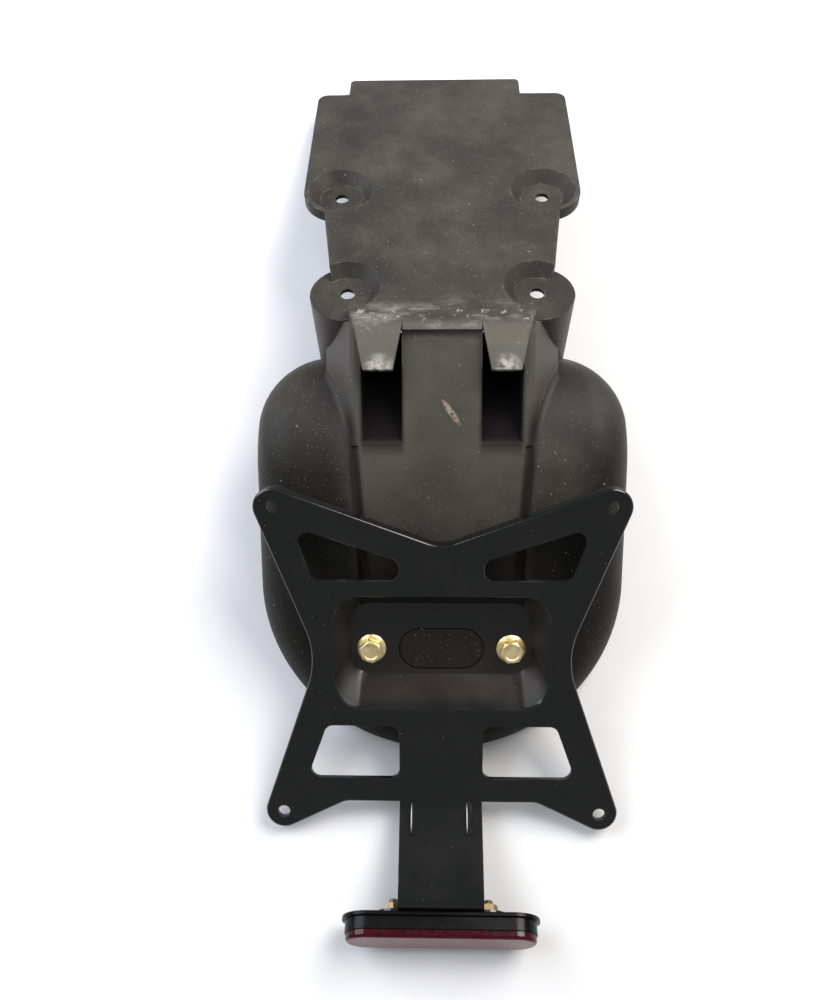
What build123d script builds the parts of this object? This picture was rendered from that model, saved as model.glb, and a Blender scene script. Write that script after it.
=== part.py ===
import os
from math import acos, asin, cos, degrees, hypot, radians, sin, tan

from build123d import *

os.makedirs("parts", exist_ok=True)

# The part lies at rest on its tail tab and on the lower edge of its reflector.
# X runs across, +Y towards the tail tab, +Z up from the table.
fold_y = 51.2               # fold line between the tail deck and the panel
tail_tilt = 22.5            # tail deck, falling towards +Y
panel_tilt = 20.5           # mudguard panel and plate bracket, falling towards -Y

# Tail deck of the mudguard, measured from the fold line
deck_length = 186.0
deck_half_width = 72.0
deck_corner = 6.0
deck_thickness = 5.5        # the bolt pads are sunk by as much
pad_slope = 45.0            # conical wall of the sunk pads
pad_wall = 2.0
lobe_wall = 2.0             # plate at the bolt lobes
front_half_width = 41.0     # deck at the fold line
waist_near = 54.0           # half widths of the waist
waist_far = 60.0
waist_start = 36.0
waist_end = 75.0
tab_length = 15.5
tab_width = 100.0
tab_offset = -4.0
tab_corner = 3.0
near_spacing = 90.0         # tail bolt pair beside the fold line
near_position = 23.0
near_lobe = 18.0
near_pad = 16.5
far_spacing = 105.0         # tail bolt pair towards the tab
far_position = 95.5
far_pad = 17.0
tail_hole = 7.0
box_margin = 13.0           # stiffening box inside the deck's edge
box_start = 4.0
box_end = 12.0
deck_edge = 1.0             # rounding of the deck's upper edges

# Mudguard shell, measured along the panel from the fold line
wall = 3.0
dome_half_width = 91.5
nose_centre = -128.0         # middle of the round nose
dome_far_edge = -16.0
shoulder_straight = 13.5    # far edge of the dome beyond the spine, up to its round corner
crown_start = -70.0         # where the dome starts to fall towards the tail
crown_radius = 56.0
crown_half_width = 69.5     # crown of the dome, up to its rounded sides
ramp_step = 1.5             # panel below the deck at the fold line
spine_half_width = 42.0
spine_length = 100.0
spine_flank = 30.0          # slope of the spine's shoulders
flank_depth = 26.0
valley_rounding = 5.0       # where the spine runs into the dome
ridge_rounding = 4.0        # along the spine's shoulders
arch_radius = 700.0         # wheel side of the moulding, one large arc
arch_height = 28.0
arch_y = 49.0
groove_radius = 2.5
groove_depth = 1.6
groove_near = 41.5          # half distance of the two panel grooves
groove_far = 36.0
groove_start = -57.0
groove_end = -150.0

# Prongs of the deck and the pockets under them
prong_tilt = 6.0
prong_length = 23.0
prong_root = (18.0, 41.0)
prong_tip = (22.5, 36.0)
prong_thickness = 3.0
lip_length = 4.5            # front edge of the deck between the prongs
pocket_side = (18.5, 37.5)
pocket_length = 56.0
pocket_depth = 34.0
pocket_wall = 2.0
pocket_gap = 4.0            # from the fold line to the pocket's open end

# Plate bracket, a steel pressing, measured from the centre of its dish
sheet = 2.0
bracket_distance = 155.0    # fold line to dish centre, along the panel
plate_standoff = 13.0       # front of the plate above the panel
upper_hole = (78.5, 71.0)   # number plate holes
lower_hole = (77.5, -82.0)
plate_hole = 6.0
lobe_radius = 9.0
vee_bottom = 52.0
vee_rounding = 20.0
waist_point = (59.2, -2.0)
waist_rounding = 40.0
lower_edge = -76.7
slant_start = 47.0
slant_rounding = 10.0
upper_window = [(20.0, 36.4), (60.4, 36.4), (69.4, 62.0), (20.0, 45.6)]
lower_window = [(20.2, -36.3), (55.3, -36.3), (65.2, -63.6), (20.2, -63.6)]
window_corner = 4.5
rim_depth = 8.0             # turned-back rim of the plate's upper edge
rim_rounding = 1.6
dish_size = (104.0, 57.0)
dish_corner = 14.0
floor_size = (88.0, 36.0)
floor_corner = 10.0
floor_shift = 4.0
dish_rounding = 2.0         # pressed edge round the dish
slot_size = (41.4, 20.9)
slot_height = -1.0          # slot and bolts above the dish centre
bolt_spacing = 68.0
bolt_clearance = 6.6

# Reflector arm, the tongue of the bracket
arm_width = 40.4
arm_start = 78.5            # first bend, below the dish centre
arm_overlap = 6.0
arm_length = 44.0
arm_bend = 5.0              # inner bend radius
tip_tilt = 57.0             # reflector face, leaning back from the table
rib_spacing = 27.0
rib_width = 2.4
rib_start = 5.5             # middle of the ribs, along the arm
rib_length = 15.0
rib_height = 2.4
tip_gap = 5.0               # from the arm's corner to the reflector
tip_lobe = 8.5

# Reflector
reflector_width = 95.0
reflector_height = 25.0
lip = 1.6
lip_depth = 1.8
base_depth = 7.4
lens_depth = 3.4
lens_seat = 1.2             # how far the lens sits in the base
lens_edge = 0.6             # rim of the base round the lens
lens_rounding = 1.5
stud_spacing = 46.0
stud = 5.0
stud_anchor = 4.0
stud_reach = 8.0
stud_clearance = 0.5

# Fasteners
bolt = 6.0
bolt_length = 16.0
bolt_head = 6.0
bolt_across_flats = 10.0
bolt_flange = 14.2
bolt_flange_height = 1.4
nut_height = 6.0
reflector_nut_height = 4.0
reflector_nut_across_flats = 8.0
thread_chamfer = 0.6
boss_clearance = 0.5        # oval boss in the bracket slot

shoulder = dome_half_width - spine_half_width - shoulder_straight
dome_rounding = dome_half_width - crown_half_width
far_lobe = deck_half_width - far_spacing / 2
reach = 80.0                # depth of the rough bodies before the wheel side is cut
tolerance = 0.01            # for picking corners and edges


def tilted(origin, tilt):
    """Plane across the part, its normal leaning towards +Y by the tilt."""
    angle = radians(tilt)
    return Plane(origin=origin, x_dir=(1, 0, 0), z_dir=(0, sin(angle), cos(angle)))


def across(plane):
    """Side view of a plane: its y axis runs to the right, its normal up."""
    return Plane(origin=plane.origin, x_dir=plane.y_dir, z_dir=(1, 0, 0))


def point_on(plane, along, height):
    """Point in the middle of the part, given on a plane."""
    return plane.from_local_coords(Vector(0, along, height))


fold_z = (deck_length + tab_length) * sin(radians(tail_tilt)) + deck_thickness * cos(radians(tail_tilt))
tail = tilted((0, fold_y, fold_z), tail_tilt)
panel = tilted((0, fold_y, fold_z - ramp_step), -panel_tilt)
bracket = tilted(point_on(panel, -bracket_distance, plate_standoff), -panel_tilt)
near_holes = [(-near_spacing / 2, near_position), (near_spacing / 2, near_position)]
far_holes = [(-far_spacing / 2, far_position), (far_spacing / 2, far_position)]
bolt_places = [(-bolt_spacing / 2, slot_height), (bolt_spacing / 2, slot_height)]


def dome(inset):
    """Wide domed body of the mudguard, moved inwards by the inset."""
    half = dome_half_width - inset
    far = dome_far_edge - inset
    turn = shoulder - inset
    crown = crown_radius - inset
    start = nose_centre - 2 * dome_half_width
    with BuildPart() as body:
        with BuildSketch(panel.offset(-inset)):
            with BuildLine():
                ThreePointArc((-half, nose_centre), (0, nose_centre - half), (half, nose_centre))
                Line((half, nose_centre), (half, far - turn))
                RadiusArc((half, far - turn), (half - turn, far), -turn)
                Line((half - turn, far), (turn - half, far))
                RadiusArc((turn - half, far), (-half, far - turn), -turn)
                Line((-half, far - turn), (-half, nose_centre))
            make_face()
        extrude(amount=-reach)
        with BuildSketch(across(panel)):
            with BuildLine():
                Line((start, -inset), (crown_start, -inset))
                RadiusArc((crown_start, -inset), (crown_start + crown, -crown_radius), crown)
                Polyline(
                    (crown_start + crown, -crown_radius),
                    (crown_start + crown, -reach),
                    (start, -reach),
                    (start, -inset),
                )
            make_face()
        extrude(amount=dome_half_width, both=True, mode=Mode.INTERSECT)
        up = Axis((0, 0, 0), panel.z_dir)
        floor = body.faces().sort_by(up)[0]
        rim = body.edges() - floor.edges()
        rim = rim.filter_by(Axis.X, reverse=True).filter_by(up, reverse=True)
        fillet(rim, dome_rounding - inset)
    return body.part


def spine(inset):
    """Centre box with sloping shoulders, from the fold line down into the dome."""
    slope = tan(radians(spine_flank))
    top = spine_half_width + inset * slope - inset / cos(radians(spine_flank))
    foot = spine_half_width + flank_depth * slope - inset
    knee = -inset - (foot - top) / slope
    with BuildPart() as body:
        with BuildSketch(Plane(origin=panel.origin, x_dir=(1, 0, 0), z_dir=-panel.y_dir)):
            with BuildLine():
                Polyline(
                    (-top, -inset),
                    (top, -inset),
                    (foot, knee),
                    (foot, -reach),
                    (-foot, -reach),
                    (-foot, knee),
                    close=True,
                )
            make_face()
        extrude(amount=spine_length)
        pillar_middle = Plane(origin=point_on(tail, near_position, 0), z_dir=tail.y_dir)
        split(bisect_by=pillar_middle, keep=Keep.BOTTOM)
    return body.part


def tail_box(inset, top, start):
    """Stiffening box under the tail deck, between the bolt lobes."""
    near = waist_near - box_margin - inset
    far = waist_far - box_margin - inset
    end = deck_length - box_end - inset
    side = [(near, start), (near, waist_start), (far, waist_end), (far, end)]
    with BuildPart() as body:
        with BuildSketch(tail.offset(-top)):
            with BuildLine():
                Polyline(*side, *[(-x, y) for x, y in reversed(side)], close=True)
            make_face()
        extrude(amount=-reach)
    return body.part


def pillars(radius, top, back):
    """Half columns under the near pair of bolt lobes, or the space in them, open to the tail."""
    with BuildPart() as body:
        with BuildSketch(tail.offset(-top)):
            with Locations(*near_holes):
                Circle(radius)
                Rectangle(2 * radius, 2 * radius, align=(Align.CENTER, Align.MIN), mode=back)
        extrude(amount=-reach)
    return body.part


def deck_outline():
    """Raised deck with its waist, its far lobes and its tab, in the tail plane."""
    inside = (waist_far - far_spacing / 2) / far_lobe
    turn = degrees(acos(inside))
    lobe_foot = far_position - far_lobe * sin(radians(turn))
    side = [(front_half_width, 0), (waist_near, waist_start), (waist_far, lobe_foot)]
    far_end = [(deck_half_width, far_position), (deck_half_width, deck_length)]
    with BuildSketch() as outline:
        with BuildLine():
            Polyline(*[(-x, y) for x, y in reversed(side)], *side)
            CenterArc(far_holes[1], far_lobe, 0, -turn)
            Polyline(*far_end, *[(-x, y) for x, y in reversed(far_end)])
            CenterArc(far_holes[0], far_lobe, 180, turn)
        make_face()
        fillet(outline.vertices().group_by(Axis.Y)[-1], deck_corner)
        with Locations((tab_offset, deck_length)):
            Rectangle(tab_width, 2 * tab_length)
        fillet(outline.vertices().group_by(Axis.Y)[-1], tab_corner)
    return outline.sketch


def on_tail(edge):
    """Middle of an edge, in the tail plane."""
    return tail.to_local_coords(edge @ 0.5)


def on_panel(edge):
    """Middle of an edge, in the panel plane."""
    return panel.to_local_coords(edge @ 0.5)


def in_valley(edge):
    """True for a curved edge on a sloping side of the spine, where it runs into the dome."""
    slope = tan(radians(spine_flank))
    places = [panel.to_local_coords(edge @ share) for share in (0.1, 0.5, 0.9)]
    on_side = all(abs(abs(p.X) - spine_half_width + p.Z * slope) < tolerance for p in places)
    return on_side and edge.geom_type != GeomType.LINE


def deck():
    """Tail deck, its upper edges rounded except at the fold line."""
    with BuildPart() as body:
        with BuildSketch(tail):
            add(deck_outline())
        extrude(amount=-deck_thickness)
        top = body.faces().sort_by(Axis((0, 0, 0), tail.z_dir))[-1]
        fillet([e for e in top.edges() if on_tail(e).Y > tolerance], deck_edge)
    return body.part


def pad_cups():
    """Walls and floors of the four sunk pads, inside the deck's outline."""
    depth = deck_thickness + lobe_wall
    with BuildPart() as body:
        with BuildSketch(tail):
            with Locations(*near_holes):
                Circle(near_pad + pad_wall)
            with Locations(*far_holes):
                Circle(far_pad + pad_wall)
        extrude(amount=-depth, taper=pad_slope)
        with BuildSketch(tail):
            add(deck_outline())
        extrude(amount=-depth, mode=Mode.INTERSECT)
    return body.part


def pocket_prism(side, floor, base):
    """Wedge on one side of the ramp, between the panel and a sloping floor."""
    low, high = side
    with BuildPart() as body:
        with BuildSketch(across(panel).offset(low)):
            with BuildLine():
                Polyline((-floor, 0), (-pocket_gap, 0), (-pocket_gap, -base), close=True)
            make_face()
        extrude(amount=high - low)
    return body.part


pocket_slope = pocket_depth / (pocket_length - pocket_gap)
floor_shift_down = pocket_wall * (1 + pocket_slope**2) ** 0.5
pocket_block = pocket_prism(
    (pocket_side[0] - pocket_wall, pocket_side[1] + pocket_wall),
    pocket_length + floor_shift_down / pocket_slope,
    pocket_depth + floor_shift_down,
)
pocket_space = pocket_prism(pocket_side, pocket_length, pocket_depth)

with BuildPart() as mudguard:
    add(dome(0))
    add(spine(0))
    ridges = mudguard.edges().filter_by(Axis((0, 0, 0), panel.y_dir))
    fillet([e for e in ridges if abs(abs(on_panel(e).X) - spine_half_width) < tolerance], ridge_rounding)
    fillet([e for e in mudguard.edges() if in_valley(e)], valley_rounding)
    add(pillars(near_lobe, deck_thickness, Mode.SUBTRACT))
    add(pillars(near_lobe - wall, deck_thickness + lobe_wall, Mode.ADD), mode=Mode.SUBTRACT)
    add(tail_box(0, deck_thickness, box_start))
    with Locations((0, arch_y, arch_height - arch_radius)):
        Cylinder(arch_radius, 4 * dome_half_width, rotation=(0, 90, 0), mode=Mode.SUBTRACT)
    add(deck())
    add(dome(wall), mode=Mode.SUBTRACT)
    add(spine(wall), mode=Mode.SUBTRACT)
    add(tail_box(wall, wall, box_start + wall), mode=Mode.SUBTRACT)

    # Sunk pads round the four tail bolts
    add(pad_cups())
    with BuildSketch(tail.offset(-deck_thickness)):
        with Locations(*near_holes):
            Circle(near_lobe)
    extrude(amount=-lobe_wall)
    with BuildSketch(tail):
        with Locations(*near_holes):
            Circle(near_pad)
        with Locations(*far_holes):
            Circle(far_pad)
    extrude(amount=-deck_thickness, taper=pad_slope, mode=Mode.SUBTRACT)
    with BuildSketch(tail):
        with Locations(*near_holes, *far_holes):
            Circle(tail_hole / 2)
    extrude(amount=-2 * deck_thickness, mode=Mode.SUBTRACT)

    # Pockets either side of the ramp, with a prong of the deck over each
    add(pocket_block)
    add(mirror(pocket_block, about=Plane.YZ, mode=Mode.PRIVATE))
    add(pocket_space, mode=Mode.SUBTRACT)
    add(mirror(pocket_space, about=Plane.YZ, mode=Mode.PRIVATE), mode=Mode.SUBTRACT)
    with BuildSketch(tilted((0, fold_y, fold_z), -prong_tilt)) as prongs:
        with BuildLine():
            Polyline(
                (prong_root[0], 0),
                (prong_root[1], 0),
                (prong_tip[1], -prong_length),
                (prong_tip[0], -prong_length),
                close=True,
            )
        make_face()
        mirror(about=Plane.YZ)
        with Locations((0, -lip_length / 2)):
            Rectangle(2 * prong_root[0], lip_length)
    extrude(amount=-prong_thickness)

    # Oval boss that locates the bracket, its bolt holes and the two panel grooves
    with BuildSketch(tilted(point_on(panel, -bracket_distance, 0), -panel_tilt)):
        with Locations((0, slot_height)):
            SlotOverall(slot_size[0] - 2 * boss_clearance, slot_size[1] - 2 * boss_clearance)
    extrude(amount=sheet)
    with BuildSketch(tilted(point_on(panel, -bracket_distance, 0), -panel_tilt)):
        with Locations(*bolt_places):
            Circle(bolt_clearance / 2)
    extrude(amount=-2 * wall, mode=Mode.SUBTRACT)
    for side in (-1, 1):
        height = groove_radius - groove_depth
        start = panel.from_local_coords(Vector(side * groove_near, groove_start, height))
        end = panel.from_local_coords(Vector(side * groove_far, groove_end, height))
        with BuildSketch(Plane(origin=start, z_dir=end - start)):
            Circle(groove_radius)
        extrude(amount=(end - start).length, mode=Mode.SUBTRACT)
mudguard.part.label = "mudguard"
export_step(mudguard.part, "parts/mudguard.step")


def arm_hull(hole, points):
    """One arm of the plate: the hull of a hole's lobe and the given points."""
    with BuildSketch() as arm_face:
        with Locations(hole):
            Circle(lobe_radius)
        lobe = arm_face.edges()
        with BuildLine() as body:
            Polyline(*points)
        make_hull([*lobe, *body.edges()], mode=Mode.REPLACE)
    return arm_face.sketch


def plate_outline():
    """Butterfly outline of the bracket, without its windows."""
    middle = waist_point[1]
    upper_arm = arm_hull(upper_hole, [(0, vee_bottom), (0, middle), waist_point])
    lower_arm = arm_hull(lower_hole, [waist_point, (slant_start, lower_edge)])
    with BuildSketch() as outline:
        add(upper_arm)
        add(lower_arm)
        with BuildLine():
            Polyline((0, middle), waist_point, (slant_start, lower_edge), (0, lower_edge), close=True)
        make_face()
        mirror(about=Plane.YZ)
        for place, radius in (
            (waist_point, waist_rounding),
            ((slant_start, lower_edge), slant_rounding),
            ((0, vee_bottom), vee_rounding),
        ):
            near = [hypot(abs(v.X) - place[0], v.Y - place[1]) < tolerance for v in outline.vertices()]
            corners = [v for v, at_place in zip(outline.vertices(), near) if at_place]
            fillet(corners, radius)
    return outline.sketch


def dish(grow, depth):
    """Pressed dish, tapering from its mouth in the plate to its floor."""
    with BuildPart() as body:
        with BuildSketch(bracket):
            RectangleRounded(dish_size[0] + 2 * grow, dish_size[1] + 2 * grow, dish_corner + grow)
        with BuildSketch(bracket.offset(-depth)):
            with Locations((0, floor_shift)):
                RectangleRounded(floor_size[0] + 2 * grow, floor_size[1] + 2 * grow, floor_corner + grow)
        loft()
    return body.part


def window_shapes():
    """The four windows between the arms of the plate."""
    with BuildSketch() as windows:
        for points in (upper_window, lower_window):
            with BuildLine():
                Polyline(*points, close=True)
            make_face()
        fillet(windows.vertices(), window_corner)
        mirror(about=Plane.YZ)
    return windows.sketch


def on_upper_rim(edge):
    """True for the front edges of the plate along its vee and upper lobes."""
    middle = bracket.to_local_coords(edge.center())
    ends = [bracket.to_local_coords(v.center()) for v in edge.vertices()]
    flat = all(abs(p.Z) < tolerance for p in ends + [middle])
    outside = all(p.Y > waist_point[1] + lobe_radius for p in ends)
    upper = middle.Y > vee_bottom - rim_rounding
    return flat and outside and upper and edge.length > plate_hole and len(ends) == 2


def on_dish_rim(edge):
    """True for the front edges of the plate round the mouth of the dish."""
    middle = bracket.to_local_coords(edge @ 0.5)
    inside = abs(middle.X) < dish_size[0] / 2 + tolerance and abs(middle.Y) < dish_size[1] / 2 + tolerance
    return inside and all(abs(bracket.to_local_coords(edge @ t).Z) < tolerance for t in (0, 0.5, 1))


arm_corner = point_on(bracket, -arm_start, 0)
outline = plate_outline()
tip_drop = (tip_gap + reflector_height) * sin(radians(tip_tilt))
arm_slope = degrees(asin((tip_drop - arm_corner.Z) / arm_length))
arm = tilted(arm_corner, arm_slope)
tip = tilted(point_on(arm, -arm_length, 0), -tip_tilt)
stud_height = -tip_gap - reflector_height / 2
stud_places = [(-stud_spacing / 2, stud_height), (stud_spacing / 2, stud_height)]


def side_point(point):
    """A point of the middle plane in the bracket's side view."""
    local = bracket.to_local_coords(point)
    return (local.Y, local.Z)


with BuildPart() as plate_bracket:
    with BuildSketch(bracket):
        add(outline)
        left_holes = [(-x, y) for x, y in (upper_hole, lower_hole)]
        with Locations(upper_hole, lower_hole, *left_holes):
            Circle(plate_hole / 2, mode=Mode.SUBTRACT)
    extrude(amount=-sheet)
    fillet([e for e in plate_bracket.edges() if on_upper_rim(e)], rim_rounding)
    with BuildSketch(bracket.offset(-sheet)):
        add(outline)
        offset(outline, -sheet, mode=Mode.SUBTRACT)
        with BuildLine():
            Polyline(
                (-2 * upper_hole[0], upper_hole[1]),
                (-upper_hole[0], upper_hole[1]),
                (0, vee_bottom - lobe_radius),
                (upper_hole[0], upper_hole[1]),
                (2 * upper_hole[0], upper_hole[1]),
                (2 * upper_hole[0], 2 * upper_hole[1]),
                (-2 * upper_hole[0], 2 * upper_hole[1]),
                close=True,
            )
        make_face(mode=Mode.INTERSECT)
    extrude(amount=-(rim_depth - sheet))
    with BuildSketch(bracket):
        add(window_shapes())
    extrude(amount=-sheet, mode=Mode.SUBTRACT)
    add(dish(sheet, plate_standoff))
    add(dish(0, plate_standoff - sheet), mode=Mode.SUBTRACT)
    fillet([e for e in plate_bracket.edges() if on_dish_rim(e)], dish_rounding)
    with BuildSketch(bracket):
        with Locations((0, slot_height)):
            SlotOverall(*slot_size)
        with Locations(*bolt_places):
            Circle(bolt_clearance / 2)
    extrude(amount=-plate_standoff, mode=Mode.SUBTRACT)

    # Reflector arm: one strip with two bends, ending in a wider tip
    with BuildSketch(across(bracket)):
        with BuildLine():
            FilletPolyline(
                (lower_edge + arm_overlap, 0),
                side_point(arm.origin),
                side_point(tip.origin),
                side_point(point_on(tip, stud_height, 0)),
                radius=arm_bend,
            )
            offset(amount=sheet, side=Side.LEFT)
        make_face()
    extrude(amount=arm_width / 2, both=True)
    with BuildSketch(tip):
        with Locations(*stud_places):
            Circle(tip_lobe)
        make_hull()
        with Locations(*stud_places):
            Circle((stud + stud_clearance) / 2, mode=Mode.SUBTRACT)
    extrude(amount=-sheet)
    with BuildSketch(tip):
        with Locations(*stud_places):
            Circle((stud + stud_clearance) / 2)
    extrude(amount=-sheet, mode=Mode.SUBTRACT)
    with BuildSketch(arm):
        with Locations((-rib_spacing / 2, -rib_start), (rib_spacing / 2, -rib_start)):
            SlotOverall(rib_length, rib_width, rotation=90)
    extrude(amount=rib_height)
plate_bracket.part.label = "plate_bracket"
export_step(plate_bracket.part, "parts/plate_bracket.step")


def stadium(width, height):
    """Round-ended outline of the reflector, centred between its studs."""
    with BuildSketch() as outline:
        SlotOverall(width, height)
    return outline.sketch


reflector = tilted(point_on(tip, stud_height, 0), -tip_tilt)
body_width = reflector_width - 2 * lip
body_height = reflector_height - 2 * lip
lens_width = body_width - 2 * lens_edge
lens_height = body_height - 2 * lens_edge
stud_pair = [(-stud_spacing / 2, 0), (stud_spacing / 2, 0)]

with BuildPart() as reflector_base:
    with BuildSketch(reflector):
        add(stadium(reflector_width, reflector_height))
    extrude(amount=lip_depth)
    with BuildSketch(reflector.offset(lip_depth)):
        add(stadium(body_width, body_height))
    extrude(amount=base_depth - lip_depth)
    with BuildSketch(reflector.offset(base_depth)):
        add(stadium(lens_width, lens_height))
    extrude(amount=-lens_seat, mode=Mode.SUBTRACT)
    with BuildSketch(reflector):
        with Locations(*stud_pair):
            Circle(stud / 2)
    extrude(amount=stud_anchor, mode=Mode.SUBTRACT)
reflector_base.part.label = "reflector_base"
export_step(reflector_base.part, "parts/reflector_base.step")

with BuildPart() as reflector_lens:
    with BuildSketch(reflector.offset(base_depth - lens_seat)):
        add(stadium(lens_width, lens_height))
    extrude(amount=lens_seat + lens_depth)
    front = reflector_lens.faces().sort_by(Axis((0, 0, 0), reflector.z_dir))[-1]
    fillet(front.edges(), lens_rounding)
reflector_lens.part.label = "reflector_lens"
export_step(reflector_lens.part, "parts/reflector_lens.step")

with BuildPart() as reflector_studs:
    with BuildSketch(reflector.offset(stud_anchor)):
        with Locations(*stud_pair):
            Circle(stud / 2)
    extrude(amount=-(stud_anchor + stud_reach))
    tips = reflector_studs.faces().group_by(Axis((0, 0, 0), reflector.z_dir))[0]
    chamfer(tips.edges(), thread_chamfer)
reflector_studs.part.label = "reflector_studs"
export_step(reflector_studs.part, "parts/reflector_studs.step")

with BuildPart() as reflector_nuts:
    with BuildSketch(reflector.offset(-sheet)):
        with Locations(*stud_pair):
            RegularPolygon(reflector_nut_across_flats / 2, 6, major_radius=False)
            Circle(stud / 2, mode=Mode.SUBTRACT)
    extrude(amount=-reflector_nut_height)
reflector_nuts.part.label = "reflector_nuts"
export_step(reflector_nuts.part, "parts/reflector_nuts.step")

seat = tilted(point_on(bracket, 0, sheet - plate_standoff), -panel_tilt)
with BuildPart() as bracket_bolts:
    with BuildSketch(seat):
        with Locations(*bolt_places):
            Circle(bolt_flange / 2)
    extrude(amount=bolt_flange_height)
    with BuildSketch(seat):
        with Locations(*bolt_places):
            RegularPolygon(bolt_across_flats / 2, 6, major_radius=False)
    extrude(amount=bolt_head)
    with BuildSketch(seat):
        with Locations(*bolt_places):
            Circle(bolt / 2)
    extrude(amount=-bolt_length)
bracket_bolts.part.label = "bracket_bolts"
export_step(bracket_bolts.part, "parts/bracket_bolts.step")

with BuildPart() as bracket_nuts:
    with BuildSketch(seat.offset(-sheet - wall)):
        with Locations(*bolt_places):
            Circle(bolt_flange / 2)
            Circle(bolt / 2, mode=Mode.SUBTRACT)
    extrude(amount=-bolt_flange_height)
    with BuildSketch(seat.offset(-sheet - wall)):
        with Locations(*bolt_places):
            RegularPolygon(bolt_across_flats / 2, 6, major_radius=False)
            Circle(bolt / 2, mode=Mode.SUBTRACT)
    extrude(amount=-nut_height)
bracket_nuts.part.label = "bracket_nuts"
export_step(bracket_nuts.part, "parts/bracket_nuts.step")
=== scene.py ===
from math import cos, pi, radians, sin, tan

import bmesh
import bpy
from mathutils import Matrix, Vector


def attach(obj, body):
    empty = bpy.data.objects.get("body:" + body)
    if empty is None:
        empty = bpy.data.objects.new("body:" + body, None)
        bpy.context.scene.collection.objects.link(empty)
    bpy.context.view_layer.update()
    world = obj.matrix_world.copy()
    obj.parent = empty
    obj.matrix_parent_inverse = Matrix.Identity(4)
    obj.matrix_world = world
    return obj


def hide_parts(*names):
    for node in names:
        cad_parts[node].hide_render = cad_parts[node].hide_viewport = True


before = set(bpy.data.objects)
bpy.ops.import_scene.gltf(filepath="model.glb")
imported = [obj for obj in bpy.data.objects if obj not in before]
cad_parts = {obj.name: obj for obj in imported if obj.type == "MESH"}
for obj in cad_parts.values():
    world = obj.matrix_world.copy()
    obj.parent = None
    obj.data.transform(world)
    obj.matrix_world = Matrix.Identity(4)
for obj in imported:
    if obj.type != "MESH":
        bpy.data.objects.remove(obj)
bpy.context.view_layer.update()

# Mudguard: one injection moulding in black polypropylene, with a fine spark texture.
# Tail deck, ramp, pockets and domed wheel shell come out of the mould in one piece,
# and every outer corner of the moulding is slightly rounded.
corner_merge = 2e-5         # joins the loose triangles of a CAD mesh
sliver = 1e-5
flat_angle = radians(0.4)
shell_edge, shell_corner = 0.0006, radians(32)


def add_object(name, data):
    """New object in the scene."""
    made = bpy.data.objects.new(name, data)
    bpy.context.scene.collection.objects.link(made)
    return made


def dressed(node, name, edge, corner):
    """Copy of a CAD node with its sharp corners rounded, standing in for the node."""
    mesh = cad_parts[node].data.copy()
    shape = bmesh.new()
    shape.from_mesh(mesh)
    bmesh.ops.remove_doubles(shape, verts=shape.verts, dist=corner_merge)
    bmesh.ops.dissolve_degenerate(shape, dist=sliver, edges=shape.edges)
    bmesh.ops.dissolve_limit(
        shape, angle_limit=flat_angle, verts=shape.verts, edges=shape.edges, delimit={"NORMAL"}
    )
    shape.to_mesh(mesh)
    shape.free()
    mesh.materials.clear()
    for face in mesh.polygons:
        face.use_smooth = True
    piece = add_object(name, mesh)
    rounding = piece.modifiers.new("Rounded corners", "BEVEL")
    rounding.width = edge
    rounding.segments = 2
    rounding.limit_method = "ANGLE"
    rounding.angle_limit = corner
    rounding.loop_slide = False
    shading = piece.modifiers.new("Even shading", "WEIGHTED_NORMAL")
    shading.keep_sharp = True
    bake_modifiers(piece)
    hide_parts(node)
    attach(piece, "root")
    return piece


def bake_modifiers(piece):
    """Turns a piece's modifiers into plain mesh."""
    depsgraph = bpy.context.evaluated_depsgraph_get()
    made = bpy.data.meshes.new_from_object(piece.evaluated_get(depsgraph), depsgraph=depsgraph)
    piece.modifiers.clear()
    piece.data = made


def wire(tree, kind, inputs=None, **settings):
    """Adds a node, sets its options and inputs, and links any input given as a socket."""
    node = tree.nodes.new(kind)
    for key, value in settings.items():
        setattr(node, key, value)
    for key, value in (inputs or {}).items():
        if isinstance(value, bpy.types.NodeSocket):
            tree.links.new(value, node.inputs[key])
        else:
            node.inputs[key].default_value = value
    return node


def maths(tree, operation, a, b=0.0, clamp=True):
    """One sum of two values, clamped to 0 and 1 unless told otherwise."""
    node = wire(tree, "ShaderNodeMath", {0: a, 1: b}, operation=operation, use_clamp=clamp)
    return node.outputs[0]


def product(tree, first, *others):
    """Several masks multiplied together."""
    for other in others:
        first = maths(tree, "MULTIPLY", first, other)
    return first


def distance_from(tree, value, level):
    """How far a value is from a level, above or below it."""
    return maths(tree, "ABSOLUTE", maths(tree, "SUBTRACT", value, level, clamp=False), clamp=False)


def vector_maths(tree, operation, a, b):
    """One sum of two vectors, as sockets by name."""
    return wire(tree, "ShaderNodeVectorMath", {0: a, 1: b}, operation=operation).outputs


def dot(tree, a, b):
    """Dot product of two vectors."""
    return vector_maths(tree, "DOT_PRODUCT", a, b)["Value"]


def axes(tree, vector):
    """X, Y and Z of a vector, as sockets by name."""
    return wire(tree, "ShaderNodeSeparateXYZ", {"Vector": vector}).outputs


def noise(tree, place, scale, detail, roughness=0.5):
    """Cloudy value that varies over the surface."""
    inputs = {"Vector": place, "Scale": scale, "Detail": detail, "Roughness": roughness}
    return wire(tree, "ShaderNodeTexNoise", inputs).outputs["Fac"]


def between(tree, share, low, high, edge=(0.0, 1.0), step="LINEAR"):
    """Value from low to high, as the share goes over an edge."""
    start, full = edge
    inputs = {"Value": share, "From Min": start, "From Max": full, "To Min": low, "To Max": high}
    return wire(tree, "ShaderNodeMapRange", inputs, interpolation_type=step).outputs["Result"]


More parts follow.
